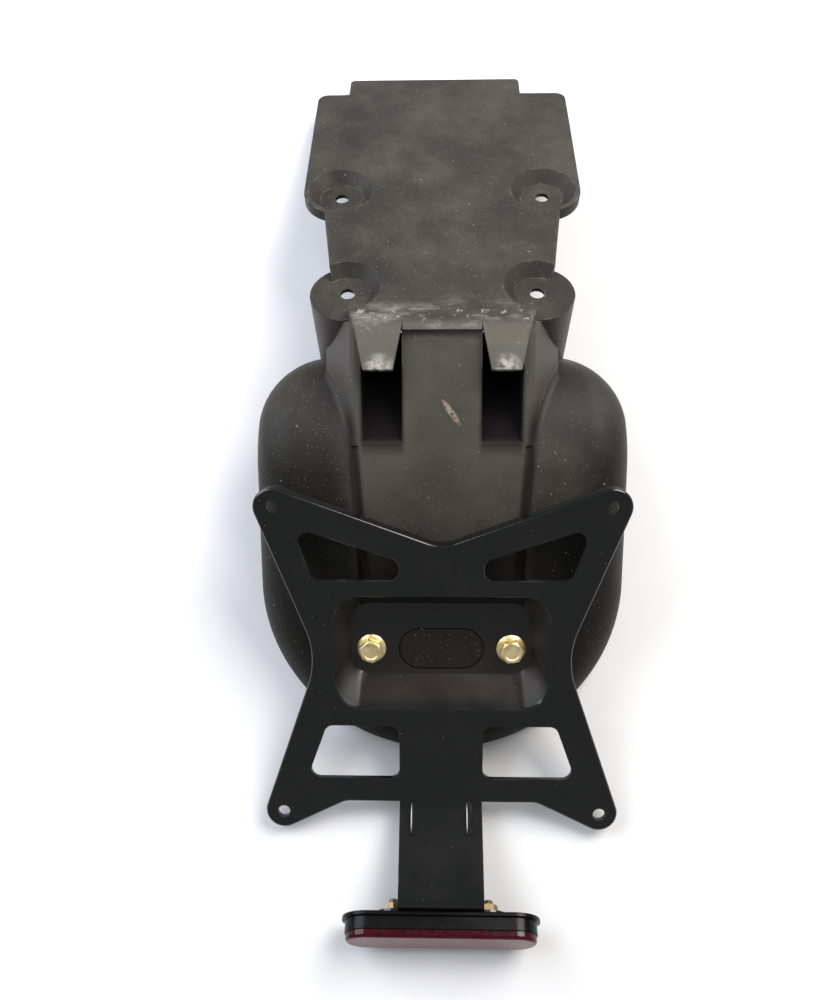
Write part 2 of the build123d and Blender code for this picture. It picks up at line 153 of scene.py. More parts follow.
def fade(tree, value, edge):
    """Smooth step of a value over an edge, from 0 where the edge starts to 1 where it is full."""
    return between(tree, value, 0.0, 1.0, edge, step="SMOOTHSTEP")


def zone(tree, *limits):
    """Mask within several limits, each a value and its soft edge."""
    return product(tree, *[fade(tree, value, edge) for value, edge in limits])


def blend_colour(tree, share, a, b):
    """Mixes two colours by a share."""
    first_colour, second_colour, mixed_colour = 6, 7, 2
    node = wire(tree, "ShaderNodeMix", {"Factor": share}, data_type="RGBA")
    for index, colour in ((first_colour, a), (second_colour, b)):
        if isinstance(colour, bpy.types.NodeSocket):
            tree.links.new(colour, node.inputs[index])
        else:
            node.inputs[index].default_value = (*colour, 1.0)
    return node.outputs[mixed_colour]


def coat(tree, colour, mask, tint, strength):
    """Lays a tint over a colour where the mask is, as strongly as told."""
    return blend_colour(tree, maths(tree, "MULTIPLY", mask, strength), colour, tint)


def blank_material(name):
    """New material with its Principled shader, object coordinates and surface normal."""
    material = bpy.data.materials.new(name)
    material.use_nodes = True
    tree = material.node_tree
    tree.nodes.clear()
    shader = tree.nodes.new("ShaderNodeBsdfPrincipled")
    out = tree.nodes.new("ShaderNodeOutputMaterial")
    tree.links.new(shader.outputs["BSDF"], out.inputs["Surface"])
    place = tree.nodes.new("ShaderNodeTexCoord").outputs["Object"]
    facing = tree.nodes.new("ShaderNodeNewGeometry").outputs["Normal"]
    return material, tree, shader, place, facing


def socket(group, name, kind, way, value=None):
    """Adds a named socket to a node group."""
    made = group.interface.new_socket(name=name, in_out=way, socket_type=kind)
    if value is not None:
        made.default_value = value


def shader_group(name, vectors, numbers, results):
    """Empty shader node group with its named sockets."""
    group = bpy.data.node_groups.new(name, "ShaderNodeTree")
    for vector in vectors:
        socket(group, vector, "NodeSocketVector", "INPUT")
    for number, value in numbers.items():
        socket(group, number, "NodeSocketFloat", "INPUT", value)
    for result in results:
        socket(group, result, "NodeSocketFloat", "OUTPUT")
    return group, group.nodes.new("NodeGroupInput").outputs


def put_out(group, **results):
    """Links values to a group's outputs."""
    finish = group.nodes.new("NodeGroupOutput")
    for name, value in results.items():
        group.links.new(value, finish.inputs[name])


def use_group(tree, group, **inputs):
    """Places a shader node group in a material, with its inputs by name."""
    named = {key.replace("_", " "): value for key, value in inputs.items()}
    return wire(tree, "ShaderNodeGroup", named, node_tree=group).outputs


def dust_group():
    """Dust film that lies on upward faces, with light specks of grit in it."""
    patch_edge, upward, largest_speck = (0.28, 0.78), (0.2, 0.95), 0.34
    numbers = {"Patch scale": 30.0, "Grit scale": 420.0, "Grit share": 0.2}
    group, given = shader_group("Dust and grit", ("Place", "Facing"), numbers, ("Film", "Grit"))
    patches = noise(group, given["Place"], given["Patch scale"], detail=5.0, roughness=0.6)
    film = zone(group, (patches, patch_edge), (axes(group, given["Facing"])["Z"], upward))
    cells = wire(
        group, "ShaderNodeTexVoronoi",
        {"Vector": given["Place"], "Scale": given["Grit scale"], "Randomness": 1.0},
    ).outputs
    pick = wire(group, "ShaderNodeSeparateColor", {"Color": cells["Color"]}).outputs
    chosen = maths(group, "LESS_THAN", pick["Red"], given["Grit share"])
    size = maths(group, "MULTIPLY", pick["Green"], largest_speck)
    speck = maths(group, "LESS_THAN", cells["Distance"], size)
    put_out(group, Film=film, Grit=maths(group, "MULTIPLY", speck, chosen))
    return group


def wear_group():
    """Pale corners, for bare wear and for painted edge highlights: where the rounded normal leaves the
    true one, broken up by noise.
    """
    corner_edge, broken_edge = (0.995, 0.9), (0.48, 0.66)
    numbers = {"Scale": 200.0, "Amount": 0.5}
    group, given = shader_group("Corner wear and highlight", ("Place", "Facing", "Rounded"), numbers, ("Wear",))
    alike = dot(group, given["Facing"], given["Rounded"])
    broken = noise(group, given["Place"], given["Scale"], detail=6.0, roughness=0.65)
    corner = zone(group, (alike, corner_edge), (broken, broken_edge))
    put_out(group, Wear=maths(group, "MULTIPLY", corner, given["Amount"]))
    return group


def line_group():
    """Pale line with soft ends, through a point and along a direction, for rubbed wear and for painted
    highlights.
    """
    soft_end = (1.0, 0.2)
    vectors = ("Place", "Middle", "Along", "Across")
    group, given = shader_group("Rubbed and highlight line", vectors, {"Length": 0.01, "Width": 0.001}, ("Line",))
    away = vector_maths(group, "SUBTRACT", given["Place"], given["Middle"])["Vector"]
    squares = []
    for way, size in (("Along", "Length"), ("Across", "Width")):
        half = maths(group, "DIVIDE", given[size], 2.0, clamp=False)
        share = maths(group, "DIVIDE", dot(group, away, given[way]), half, clamp=False)
        squares.append(maths(group, "MULTIPLY", share, share, clamp=False))
    put_out(group, Line=fade(group, maths(group, "ADD", *squares, clamp=False), soft_end))
    return group


def grain_group():
    """Fine uneven skin of a moulding or of a coat of paint."""
    numbers = {"Scale": 1000.0, "Detail": 2.0}
    group, given = shader_group("Fine grain", ("Place",), numbers, ("Height",))
    put_out(group, Height=noise(group, given["Place"], given["Scale"], given["Detail"]))
    return group


dust_and_grit = dust_group()
corner_wear_and_highlight = wear_group()
rubbed_and_highlight_line = line_group()
fine_grain = grain_group()

fold = Vector((0, 0.0512, 0.0807))      # upper end of the ramp
panel_tilt = radians(20.5)
panel_up = Vector((0, -sin(panel_tilt), cos(panel_tilt)))
panel_along = Vector((0, cos(panel_tilt), sin(panel_tilt)))


def along_axis(tree, place, axis):
    """Distance along an axis from the fold, in metres."""
    return maths(tree, "SUBTRACT", dot(tree, place, axis), fold.dot(axis), clamp=False)


def beside_middle(tree, place):
    """Distance from the part's middle plane, to either side."""
    return maths(tree, "ABSOLUTE", axes(tree, place)["X"], clamp=False)


def near_point(tree, place, point, reach):
    """Soft spot round a point, full over the inner part of its reach."""
    full_share = 0.3
    away = vector_maths(tree, "DISTANCE", place, point)["Value"]
    return fade(tree, away, (reach, reach * full_share))


def corners_worn_and_highlit(tree, place, facing, radius, scale, amount):
    """Pale corners of a material, for wear and for painted edge highlights, found with a rounded
    normal of that radius.
    """
    rounded = wire(tree, "ShaderNodeBevel", {"Radius": radius}).outputs["Normal"]
    return use_group(
        tree, corner_wear_and_highlight, Place=place, Facing=facing, Rounded=rounded, Scale=scale, Amount=amount
    )["Wear"]


# Dust on the moulding, laid paler on the ramp and the steep flanks as painted light: its colours, and
# the soft edges of where it lies
bare_black = (0.0075, 0.0066, 0.0052)
brown_film = (0.036, 0.0325, 0.0255)
pale_film = (0.052, 0.047, 0.038)
ramp_dust_and_light = (0.076, 0.07, 0.057)
flank_dust_and_light = (0.066, 0.057, 0.052)
brown_grit = (0.27, 0.24, 0.19)
everywhere, patchy_strength, settled_strength = 0.08, 0.75, 0.25
clean_strength, dome_strength, flank_strength, grit_strength = 0.6, 0.7, 0.8, 0.5
dusty_end = (-0.07, 0.03)
clean_side, clean_end = (0.042, 0.056), (0.05, 0.035)
thin_patches, thick_patches = (-0.4, 1.2), (-0.9, 0.5)
ramp_side, ramp_foot, ramp_head = (0.046, 0.04), (-0.085, 0.025), (0.053, 0.048)
dome_patch, dome_reach = (0.0515, -0.014, 0.053), 0.028
steep, flank_inside, flank_outside = (0.8, 0.6), (0.036, 0.041), (0.07, 0.062)
flank_foot, flank_head = (-0.01, 0.03), (0.095, 0.08)


def shell_dust_and_light(tree, place, facing):
    """Dusty colour of the moulding, thick on deck and ramp and thin on the dome, paler on ramp and
    flanks as painted light, and its film.
    """
    beside = beside_middle(tree, place)
    y = axes(tree, place)["Y"]
    coarse = use_group(
        tree, dust_and_grit, Place=place, Facing=facing,
        Patch_scale=24.0, Grit_scale=640.0, Grit_share=0.013,
    )
    fine = use_group(
        tree, dust_and_grit, Place=place, Facing=facing,
        Patch_scale=85.0, Grit_scale=1500.0, Grit_share=0.14,
    )
    reached = maths(tree, "ADD", fade(tree, y, dusty_end), everywhere)
    cleaner = maths(tree, "MULTIPLY", zone(tree, (beside, clean_side), (y, clean_end)), clean_strength)
    reached = maths(tree, "SUBTRACT", reached, cleaner)
    patchy = maths(tree, "MULTIPLY", product(tree, coarse["Film"], reached), patchy_strength)
    settled = maths(tree, "MULTIPLY", reached, settled_strength)
    colour = blend_colour(tree, maths(tree, "ADD", patchy, settled), bare_black, brown_film)
    thin = product(tree, fine["Film"], reached, fade(tree, coarse["Film"], thin_patches))
    colour = blend_colour(tree, thin, colour, pale_film)

    thick = (coarse["Film"], thick_patches)
    # Ramp: dust, with painted light making it paler
    on_ramp = zone(tree, (beside, ramp_side), (y, ramp_foot), (y, ramp_head), thick)
    colour = blend_colour(tree, on_ramp, colour, ramp_dust_and_light)
    on_dome = product(tree, near_point(tree, place, dome_patch, dome_reach), zone(tree, thick))
    colour = coat(tree, colour, on_dome, pale_film, dome_strength)
    # Steep flanks beside the pockets: dust, with painted light making them paler
    on_flanks = zone(
        tree, (axes(tree, facing)["Z"], steep), (beside, flank_inside), (beside, flank_outside),
        (y, flank_foot), (y, flank_head),
    )
    colour = coat(tree, colour, on_flanks, flank_dust_and_light, flank_strength)
    grit = maths(tree, "MAXIMUM", coarse["Grit"], fine["Grit"])
    return coat(tree, colour, grit, brown_grit, grit_strength), coarse["Film"]


# Wear on the moulding: the deck's front edge, the prong tips, the deck's corners and a scrape
rubbed_grey = (0.36, 0.34, 0.31)
scraped_brown = (0.3, 0.23, 0.19)
front_y, smear_reach, fleck_reach = 0.0535, (0.016, 0.001), (0.009, 0.001)
front_height, front_side = (0.066, 0.079), (0.047, 0.039)
smear_patches, fleck_patches = (0.46, 0.74), (0.56, 0.68)
tip_patches, scrape_patches = (0.36, 0.62), (0.4, 0.55)
smear_strength, fleck_strength = 0.5, 0.8
smear_stretch = (0.35, 1.0, 1.0)
prong_tips = ((-0.0285, 0.029, 0.0798), (0.0295, 0.029, 0.0798))
tip_reach = 0.0085
worn_deck = (0.02, 0.05)
scrape_middle = Vector((0.0042, 0.0125, 0.0662))
scrape_way = Vector((0.581, -0.764, -0.287))
scrape_length, scrape_width = 0.0165, 0.0035


def shell_wear(tree, place, facing, colour):
    """Colour of the moulding with its pale rubbed patches."""
    spot = axes(tree, place)
    broken = noise(tree, place, scale=240.0, detail=7.0, roughness=0.7)
    stretched = wire(tree, "ShaderNodeMapping", {"Vector": place, "Scale": smear_stretch})
    smeared = noise(tree, stretched.outputs["Vector"], scale=120.0, detail=6.0, roughness=0.65)
    from_front = distance_from(tree, spot["Y"], front_y)
    on_front = ((spot["Z"], front_height), (beside_middle(tree, place), front_side))
    smear = zone(tree, (from_front, smear_reach), *on_front, (smeared, smear_patches))
    flecks = zone(tree, (from_front, fleck_reach), *on_front, (broken, fleck_patches))
    tips = maths(tree, "MAXIMUM", *[near_point(tree, place, tip, tip_reach) for tip in prong_tips])
    corners = corners_worn_and_highlit(tree, place, facing, radius=0.0012, scale=150.0, amount=0.35)
    rubbed = maths(tree, "MULTIPLY", smear, smear_strength)
    for mask in (
        maths(tree, "MULTIPLY", flecks, fleck_strength),
        maths(tree, "MULTIPLY", tips, fade(tree, broken, tip_patches)),
        maths(tree, "MULTIPLY", corners, fade(tree, spot["Y"], worn_deck)),
    ):
        rubbed = maths(tree, "MAXIMUM", rubbed, mask)
    colour = blend_colour(tree, rubbed, colour, rubbed_grey)
    scrape = use_group(
        tree, rubbed_and_highlight_line, Place=place, Middle=scrape_middle, Along=scrape_way,
        Across=panel_up.cross(scrape_way).normalized(), Length=scrape_length, Width=scrape_width,
    )["Line"]
    scrape = maths(tree, "MULTIPLY", scrape, fade(tree, broken, scrape_patches))
    return blend_colour(tree, scrape, colour, scraped_brown)


# Painted shade on the moulding: the two pockets, dust-free and painted near black as shade, with
# painted shade fading out below their soft lower ends, and the two valleys, dust-free and painted dark
# as shade, which draw together down the panel
pocket_shade_black = (0.0028, 0.002, 0.0024)
valley_shade_brown, valley_shade_strength = (0.006, 0.0043, 0.0036), 0.85
pocket_floor, pocket_side = (-0.0002, -0.005), (0.0395, 0.0378)
pocket_foot, pocket_head = (-0.075, -0.06), (0.002, -0.001)
mouth_top, mouth_inside, mouth_outside = (0.0012, 0.0006), (0.0165, 0.0195), (0.0395, 0.0365)
mouth_foot, mouth_head = (-0.064, -0.053), (-0.018, -0.022)
valley_at_fold, valley_slant, valley_side = 0.0472, 0.085, (0.0045, 0.0008)
valley_foot, valley_head = (-0.155, -0.145), (-0.035, -0.05)


def painted_shade_places(tree, place):
    """Masks of the painted shade: in the pockets, on the panel just below them, and in the valleys
    beside the ramp.
    """
    beside = beside_middle(tree, place)
    along = along_axis(tree, place, panel_along)
    height = along_axis(tree, place, panel_up)
    floors = zone(
        tree, (height, pocket_floor), (beside, pocket_side), (along, pocket_foot), (along, pocket_head)
    )
    # Painted shade on the panel just below each pocket, fading out downwards
    mouth_shade = zone(
        tree, (height, mouth_top), (beside, mouth_inside), (beside, mouth_outside),
        (along, mouth_foot), (along, mouth_head),
    )
    valley = maths(tree, "MULTIPLY", along, valley_slant, clamp=False)
    valley = maths(tree, "ADD", valley, valley_at_fold, clamp=False)
    from_valley = distance_from(tree, beside, valley)
    valleys = zone(tree, (from_valley, valley_side), (along, valley_head), (along, valley_foot))
    return maths(tree, "MAXIMUM", floors, mouth_shade), valleys


def shell_plastic():
    """Black plastic under brown dust, rubbed pale on its front edges, with painted shade in its
    pockets and valleys.
    """
    material, tree, shader, place, facing = blank_material("shell_plastic")
    shader.inputs["Specular IOR Level"].default_value = 0.24
    colour, film = shell_dust_and_light(tree, place, facing)
    colour = shell_wear(tree, place, facing, colour)
    pockets, valleys = painted_shade_places(tree, place)
    # Painted shade: the valleys, then the pockets, darkened as if in shadow
    colour = coat(tree, colour, valleys, valley_shade_brown, valley_shade_strength)
    colour = blend_colour(tree, pockets, colour, pocket_shade_black)
    tree.links.new(colour, shader.inputs["Base Color"])
    rough = maths(tree, "MAXIMUM", between(tree, film, low=0.5, high=0.72), pockets)
    tree.links.new(rough, shader.inputs["Roughness"])
    spark = use_group(tree, fine_grain, Place=place, Scale=1700.0, Detail=3.0)["Height"]
    bump = wire(tree, "ShaderNodeBump", {"Strength": 0.35, "Distance": 0.00012, "Height": spark})
    tree.links.new(bump.outputs["Normal"], shader.inputs["Normal"])
    return material


shell = dressed("mudguard", "mudguard_shell", shell_edge, shell_corner)
shell.data.materials.append(shell_plastic())

# Number plate bracket: a butterfly pressed from 2 mm steel sheet, coated satin black.
# Its dish bolts down on the moulding, and its arm is bent twice to carry the reflector
# and stiffened by two ribs.
bracket_edge, bracket_corner = 0.0004, radians(32)
arm_tilt = radians(18.6)
arm_along = Vector((0, cos(arm_tilt), -sin(arm_tilt)))
arm_across = Vector((1, 0, 0))
rib_crests = (Vector((-0.0143, -0.1765, 0.0151)), Vector((0.0127, -0.1765, 0.0151)))
crest_length, crest_width = 0.0145, 0.0007

satin_black = (0.002, 0.0022, 0.0024)
grey_film = (0.009, 0.0085, 0.008)
dish_brown = (0.014, 0.0094, 0.0066)
pale_grit = (0.22, 0.21, 0.2)
worn_paint_and_highlight = (0.12, 0.12, 0.115)
painted_rib_highlight = (0.42, 0.42, 0.4)
film_strength, speck_strength, dull_roughness = 0.3, 0.4, 0.55
dish_depth, dish_side, dish_patches = (0.0118, 0.0085), (0.053, 0.047), (-0.8, 0.6)
dish_foot, dish_head = (-0.192, -0.182), (-0.14, -0.177)
rim_side, rim_foot, rim_head = (0.057, 0.054), (-0.194, -0.19), (-0.12, -0.124)
dull_depth, dull_side = (0.0125, 0.0115), (0.037, 0.042)


def bracket_paint():
    """Black paint, brown with dust low in the dish, thin on its outer rims with a painted highlight
    there, and painted highlight lines on the ribs.
    """
    material, tree, shader, place, facing = blank_material("bracket_paint")
    beside = beside_middle(tree, place)
    along = along_axis(tree, place, panel_along)
    height = along_axis(tree, place, panel_up)
    dust = use_group(
        tree, dust_and_grit, Place=place, Facing=facing,
        Patch_scale=35.0, Grit_scale=1100.0, Grit_share=0.008,
    )
    colour = coat(tree, satin_black, dust["Film"], grey_film, film_strength)
    in_dish = zone(
        tree, (height, dish_depth), (beside, dish_side), (along, dish_foot), (along, dish_head),
        (dust["Film"], dish_patches),
    )
    colour = blend_colour(tree, in_dish, colour, dish_brown)
    colour = coat(tree, colour, dust["Grit"], pale_grit, speck_strength)
    round_dish = zone(tree, (beside, rim_side), (along, rim_foot), (along, rim_head))
    # Outer rims: worn paint, and a painted highlight along each rounded edge
    rims = corners_worn_and_highlit(tree, place, facing, radius=0.0008, scale=60.0, amount=0.5)
    rims = maths(tree, "MULTIPLY", rims, maths(tree, "SUBTRACT", 1.0, round_dish))
    colour = blend_colour(tree, rims, colour, worn_paint_and_highlight)
    # Painted highlight: a pale line along the crest of each rib, standing for light caught on it
    for crest in rib_crests:
        line = use_group(
            tree, rubbed_and_highlight_line, Place=place, Middle=crest, Along=arm_along, Across=arm_across,
            Length=crest_length, Width=crest_width,
        )["Line"]
        colour = blend_colour(tree, line, colour, painted_rib_highlight)
    tree.links.new(colour, shader.inputs["Base Color"])
    dull_walls = zone(tree, (height, dull_depth), (beside, dull_side))
    dull_walls = maths(tree, "MULTIPLY", dull_walls, dull_roughness)
    rough = maths(tree, "MAXIMUM", between(tree, dust["Film"], low=0.13, high=0.24), dull_walls)
    tree.links.new(rough, shader.inputs["Roughness"])
    peel = use_group(tree, fine_grain, Place=place, Scale=420.0, Detail=2.0)["Height"]
    bump = wire(tree, "ShaderNodeBump", {"Strength": 0.12, "Distance": 0.0001, "Height": peel})
    tree.links.new(bump.outputs["Normal"], shader.inputs["Normal"])
    return material


bracket = dressed("plate_bracket", "plate_bracket_pressing", bracket_edge, bracket_corner)
bracket.data.materials.append(bracket_paint())

# Flange bolts, nuts and studs: cold-formed steel with rolled threads and pale yellow zinc
# plating. Two bolts and nuts clamp the dish to the moulding, and two studs with smaller
# nuts hold the reflector on the arm.
bolt_radius, bolt_flats, bolt_pitch, shank_length = 0.003, 0.010, 0.001, 0.016
flange_radius, flange_rim, flange_bevel, flange_height = 0.0071, 0.0005, 0.0007, 0.0014
head_height, dimple_depth, nut_height, clamped = 0.006, 0.0003, 0.006, 0.005
bevel_share, dimple_rim, dimple_floor = 0.97, 0.8, 0.7
stud_radius, stud_flats, stud_pitch, stud_runout = 0.0025, 0.008, 0.0008, 0.0002
stud_anchor, stud_reach, small_nut = 0.004, 0.008, 0.004
reflector_tilt = radians(57)
stud_lean = reflector_tilt - pi
end_chamfer, corner_chamfer, crease = 0.0006, radians(30), radians(28)
crown_share = 0.47          # round top of a hexagon, as a share of its width across flats
thread_depth = 0.55         # as a share of the pitch
ring_sides, rings_per_turn = 48, 4
sixth_turn = pi / 3         # after which a hexagon looks the same

yellow_zinc = (0.88, 0.69, 0.32)
pale_zinc = (0.98, 0.85, 0.5)
tarnished = (0.17, 0.115, 0.075)
cloud_edge, tarnish_edge, tarnish_strength = (0.35, 0.65), (-0.13, -0.17), 0.9


def zinc_plate():
    """Cloudy yellow zinc plating, tarnished on the fasteners of the reflector."""
    material, tree, shader, place, _ = blank_material("zinc_plate")
    shader.inputs["Metallic"].default_value = 1.0
    cloudy = fade(tree, noise(tree, place, scale=160.0, detail=4.0), cloud_edge)
    colour = blend_colour(tree, cloudy, yellow_zinc, pale_zinc)
    by_reflector = fade(tree, axes(tree, place)["Y"], tarnish_edge)
    colour = coat(tree, colour, by_reflector, tarnished, tarnish_strength)
    tree.links.new(colour, shader.inputs["Base Color"])
    tree.links.new(between(tree, cloudy, low=0.34, high=0.5), shader.inputs["Roughness"])
    return material


def ringed(name, rings, hollow=False):
    """Closed body from rings of radius and height, each a number or a function of the angle."""
    shape = bmesh.new()
    loops = []
    for radius, height in rings:
        loop = []
        for step in range(ring_sides):
            angle = 2 * pi * step / ring_sides
            reach = radius(angle) if callable(radius) else radius
            level = height(angle) if callable(height) else height
            loop.append(shape.verts.new((reach * cos(angle), reach * sin(angle), level)))
        loops.append(loop)
    pairs = list(zip(loops, loops[1:]))
    if hollow:
        pairs.append((loops[-1], loops[0]))
    else:
        shape.faces.new(reversed(loops[0]))
        shape.faces.new(loops[-1])
    for low, high in pairs:
        for step in range(ring_sides):
            after = (step + 1) % ring_sides
            shape.faces.new((low[step], low[after], high[after], high[step]))
    bmesh.ops.recalc_face_normals(shape, faces=shape.faces)
    mesh = bpy.data.meshes.new(name)
    shape.to_mesh(mesh)
    shape.free()
    for face in mesh.polygons:
        face.use_smooth = True
    mesh.set_sharp_from_angle(angle=crease)
    return bpy.data.objects.new(name, mesh)


def hexagon(across_flats):
    """Radius of a hexagon at an angle."""
    return lambda angle: across_flats / 2 / cos(angle % sixth_turn - sixth_turn / 2)


def chamfered(across_flats, top, way):
    """Height of a hexagon's edge where a flat cone cuts its corners, facing up (1) or down (-1)."""
    corner, crown = hexagon(across_flats), crown_share * across_flats
    return lambda angle: top - way * (corner(angle) - crown) * tan(corner_chamfer)


def thread(radius, pitch, low, high):
    """Rings of a screw thread, from low to high."""
    count = round((high - low) / pitch * rings_per_turn)
    rings = []
    for step in range(count + 1):
        level = low + (high - low) * step / count
        rings.append((lambda angle, z=level: screw_radius(radius, pitch, z, angle), level))
    return rings


def screw_radius(radius, pitch, level, angle):
    """Radius of a right-hand thread at a height and an angle."""
    turn = (level / pitch - angle / (2 * pi)) % 1.0
    return radius - thread_depth * pitch * (0.5 - abs(turn - 0.5))


def pair_group():
    """Sets a fastener on each point, leaning as asked and turned by chance about its axis."""
    group = bpy.data.node_groups.new("Fastener pair", "GeometryNodeTree")
    socket(group, "Seats", "NodeSocketGeometry", "INPUT")
    socket(group, "Fastener", "NodeSocketObject", "INPUT")
    socket(group, "Lean", "NodeSocketFloat", "INPUT", 0.0)
    socket(group, "Seed", "NodeSocketInt", "INPUT", 0)
    socket(group, "Finish", "NodeSocketMaterial", "INPUT")
    socket(group, "Fasteners", "NodeSocketGeometry", "OUTPUT")
    given = group.nodes.new("NodeGroupInput").outputs
    shape = wire(group, "GeometryNodeObjectInfo", {"Object": given["Fastener"]}).outputs["Geometry"]
    lean = wire(group, "ShaderNodeCombineXYZ", {"X": given["Lean"]}).outputs["Vector"]
    stood = wire(
        group, "GeometryNodeInstanceOnPoints",
        {"Points": given["Seats"], "Instance": shape, "Rotation": lean},
    ).outputs["Instances"]
    chance = wire(group, "FunctionNodeRandomValue", {"Seed": given["Seed"]}, data_type="FLOAT")
    largest_turn, chosen_turn = chance.inputs[3], chance.outputs[1]
    largest_turn.default_value = sixth_turn
    turn = wire(group, "ShaderNodeCombineXYZ", {"Z": chosen_turn}).outputs["Vector"]
    turned = wire(group, "GeometryNodeRotateInstances", {"Instances": stood, "Rotation": turn})
    real = wire(group, "GeometryNodeRealizeInstances", {"Geometry": turned.outputs["Instances"]})
    plated = wire(
        group, "GeometryNodeSetMaterial",
        {"Geometry": real.outputs["Geometry"], "Material": given["Finish"]},
    )
    put_out(group, Fasteners=plated.outputs["Geometry"])
    return group


def seats_of(node, lean, below):
    """Seats of a pair of fasteners, a given length above the lowest point of each."""
    axis = Vector((0, -sin(lean), cos(lean)))
    points = [corner.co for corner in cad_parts[node].data.vertices]
    seats = []
    for side in (-1, 1):
        own = [point for point in points if point.x * side > 0]
        low = min(point.dot(axis) for point in own)
        flat = [point - axis * point.dot(axis) for point in own]
        middle = Vector([(min(p[i] for p in flat) + max(p[i] for p in flat)) / 2 for i in range(3)])
        seats.append(middle + axis * (low + below))
    return seats


def fastener_pair(node, name, template, lean, below, seed):
    """Stands a fastener on both seats of a CAD node and bakes the pair to one mesh."""
    mesh = bpy.data.meshes.new(name)
    mesh.from_pydata([tuple(seat) for seat in seats_of(node, lean, below)], [], [])
    piece = add_object(name, mesh)
    layout = piece.modifiers.new("Fastener pair", "NODES")
    layout.node_group = fasteners_in_pairs
    values = {"Fastener": template, "Lean": lean, "Seed": seed, "Finish": zinc}
    for item in fasteners_in_pairs.interface.items_tree:
        if item.name in values:
            layout[item.identifier] = values[item.name]
    bake_modifiers(piece)
    bpy.data.objects.remove(template)
    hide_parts(node)
    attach(piece, "root")


zinc = zinc_plate()
fasteners_in_pairs = pair_group()
head_top = crown_share * bolt_flats
stud_top = crown_share * stud_flats
nut_end = -clamped - nut_height

bolt_shape = ringed("flange_bolt", [
    (bolt_radius - end_chamfer, -shank_length),
    *thread(bolt_radius, bolt_pitch, end_chamfer - shank_length, -clamped),
    (bolt_radius, -clamped),
    (bolt_radius, 0.0),
    (flange_radius, 0.0),
    (flange_radius, flange_rim),
    (bevel_share * flange_radius, flange_bevel),
    (hexagon(bolt_flats), flange_height),
    (hexagon(bolt_flats), chamfered(bolt_flats, head_height, 1)),
    (head_top, head_height),
    (dimple_rim * head_top, head_height),
    (dimple_floor * head_top, head_height - dimple_depth),
])
fastener_pair(
    "bracket_bolts", "flange_bolts", bolt_shape, lean=panel_tilt, below=shank_length, seed=4
)

nut_shape = ringed("flange_nut", [
    (bolt_radius, nut_end + end_chamfer),
    (bolt_radius + end_chamfer, nut_end),
    (head_top, nut_end),
    (hexagon(bolt_flats), chamfered(bolt_flats, nut_end, -1)),
    (hexagon(bolt_flats), -clamped - flange_height),
    (bevel_share * flange_radius, -clamped - flange_bevel),
    (flange_radius, -clamped - flange_rim),
    (flange_radius, -clamped),
    (bolt_radius, -clamped),
], hollow=True)
fastener_pair(
    "bracket_nuts", "flange_nuts", nut_shape, lean=panel_tilt, below=clamped + nut_height, seed=7
)

stud_shape = ringed("reflector_stud", [
    (stud_radius, -stud_anchor),
    (stud_radius, 0.0),
    *thread(stud_radius, stud_pitch, stud_runout, stud_reach - end_chamfer),
    (stud_radius - end_chamfer, stud_reach),
])
fastener_pair(
    "reflector_studs", "threaded_studs", stud_shape, lean=stud_lean, below=stud_anchor, seed=2
)

small_shape = ringed("reflector_nut", [
    (stud_radius, 0.0),
    (stud_top, 0.0),
    (hexagon(stud_flats), chamfered(stud_flats, 0.0, -1)),
    (hexagon(stud_flats), chamfered(stud_flats, small_nut, 1)),
    (stud_top, small_nut),
    (stud_radius + end_chamfer, small_nut),
    (stud_radius, small_nut - end_chamfer),
], hollow=True)
fastener_pair(
    "reflector_nuts", "reflector_stud_nuts", small_shape, lean=stud_lean, below=0.0, seed=9
)

# Reflector: a black moulded housing with a flared rear lip, and a deep red lens with a
# prismatic back, welded into its front.
reflector_edge, reflector_corner = 0.0003, radians(35)
reflector_front = Vector((0, -sin(reflector_tilt), cos(reflector_tilt)))
housing_black = (0.0012, 0.0011, 0.0014)
housing_film, housing_strength = (0.0045, 0.004, 0.0042), 0.4
side_reds = (0.018, 0.0006, 0.003), (0.04, 0.002, 0.006)
face_reds_and_light = (0.1, 0.002, 0.012), (0.16, 0.005, 0.02)
face_edge, haze_edge = (0.6, 0.95), (0.3, 0.7)


def housing_plastic():
    """Smooth black plastic with a thin film of dust."""
    material, tree, shader, place, facing = blank_material("housing_plastic")
    shader.inputs["Specular IOR Level"].default_value = 0.13
    dust = use_group(
        tree, dust_and_grit, Place=place, Facing=facing,
        Patch_scale=60.0, Grit_scale=900.0, Grit_share=0.05,
    )
    colour = coat(tree, housing_black, dust["Film"], housing_film, housing_strength)
    tree.links.new(colour, shader.inputs["Base Color"])
    tree.links.new(between(tree, dust["Film"], low=0.2, high=0.34), shader.inputs["Roughness"])
    return material


def red_lens():
    """Polished red plastic with the prisms' pattern, painted brighter on its face as painted light
    from the prisms.
    """
    material, tree, shader, place, facing = blank_material("red_lens")
    shader.inputs["Specular IOR Level"].default_value = 0.22
    cells = wire(tree, "ShaderNodeTexVoronoi", {"Vector": place, "Scale": 520.0, "Randomness": 0.0})
    prisms = wire(tree, "ShaderNodeSeparateColor", {"Color": cells.outputs["Color"]}).outputs["Red"]
    # Painted light: the face is a brighter red than the sides, for the light its prisms send back
    on_face = fade(tree, dot(tree, facing, reflector_front), face_edge)
    side = blend_colour(tree, prisms, *side_reds)
    face = blend_colour(tree, prisms, *face_reds_and_light)
    tree.links.new(blend_colour(tree, on_face, side, face), shader.inputs["Base Color"])
    haze = noise(tree, place, scale=90.0, detail=4.0)
    tree.links.new(between(tree, haze, low=0.08, high=0.2, edge=haze_edge), shader.inputs["Roughness"])
    return material


